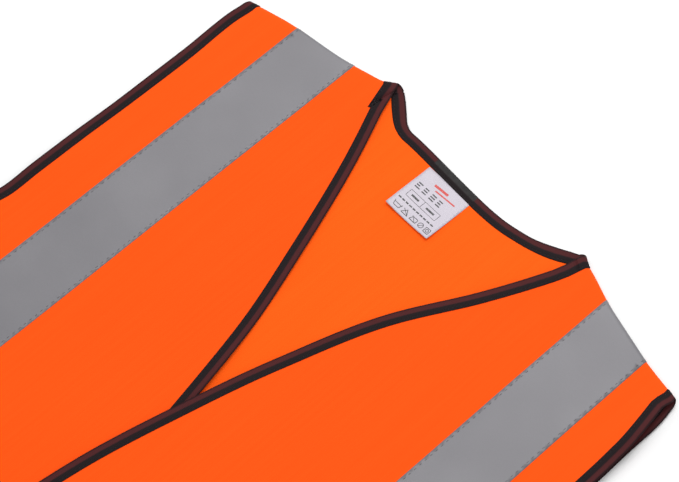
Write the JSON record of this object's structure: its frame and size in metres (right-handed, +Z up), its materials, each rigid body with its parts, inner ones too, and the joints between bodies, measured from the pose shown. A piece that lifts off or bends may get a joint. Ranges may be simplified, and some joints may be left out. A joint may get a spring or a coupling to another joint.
{
  "type": "high visibility vest",
  "caption": "Sleeveless open-fronted safety vest lying flat: orange knit panels with reflective tapes, dark edge bindings and a lapped front closed by hook-and-loop patches.",
  "frame": {"origin": "centre of the underside of the vest lying flat on its back", "axes": "+Z up out of the front, +Y along the length towards the neck, +X towards the wearer's left side"},
  "size_m": [0.6, 0.7, 0.0117],
  "materials": {
    "orange_knit": "matt fine knit",
    "reflective_tape": "satin retroreflective cloth tape",
    "dark_binding": "matt woven binding",
    "seam_thread": "matt overlock thread",
    "hook_and_loop": "matt hook and loop",
    "label_cloth": "smooth satin label"
  },
  "bodies": {
    "vest_body": {"back_panel": "orange_knit", "neck_binding": "dark_binding", "hem_binding": "dark_binding", "back_upper_band": "reflective_tape", "back_lower_band": "reflective_tape", "left_front_side_panel": "orange_knit", "left_side_seam": "seam_thread", "left_shoulder_seam": "seam_thread", "left_armhole_binding": "dark_binding", "left_front_brace_tape": "reflective_tape", "left_back_brace_tape": "reflective_tape", "left_side_upper_band": "reflective_tape", "left_side_lower_band": "reflective_tape", "right_front_side_panel": "orange_knit", "right_side_seam": "seam_thread", "right_shoulder_seam": "seam_thread", "right_armhole_binding": "dark_binding", "right_front_brace_tape": "reflective_tape", "right_back_brace_tape": "reflective_tape", "right_side_upper_band": "reflective_tape", "right_side_lower_band": "reflective_tape"},
    "left_front": {"left_front_flap_panel": "orange_knit", "left_front_edge_binding": "dark_binding", "left_flap_hem_binding": "dark_binding", "left_flap_upper_band": "reflective_tape", "left_flap_lower_band": "reflective_tape", "hook_patch_top": "hook_and_loop", "hook_patch_middle": "hook_and_loop", "hook_patch_bottom": "hook_and_loop"},
    "right_front": {"right_front_flap_panel": "orange_knit", "right_front_edge_binding": "dark_binding", "right_flap_hem_binding": "dark_binding", "right_flap_upper_band": "reflective_tape", "right_flap_lower_band": "reflective_tape", "loop_patch_top": "hook_and_loop", "loop_patch_middle": "hook_and_loop", "loop_patch_bottom": "hook_and_loop"},
    "care_label": {"care_label": "label_cloth"}
  },
  "joints": [
    {"name": "left_front_open", "type": "hinge", "parent": "vest_body", "child": "left_front", "pos_m": [0.101, 0, 0.0123], "axis": [0, 1, 0], "range_deg": [0, 170]},
    {"name": "right_front_open", "type": "hinge", "parent": "vest_body", "child": "right_front", "pos_m": [-0.101, 0, 0.0098], "axis": [0, 1, 0], "range_deg": [-85, 0]},
    {"name": "label_flip", "type": "hinge", "parent": "vest_body", "child": "care_label", "pos_m": [-0.011, 0.3247, 0.0026], "axis": [-1, 0, 0], "range_deg": [0, 150]}
  ],
  "couplings": [
    {"joint": "right_front_open", "follows": "left_front_open", "ratio": -0.5}
  ]
}
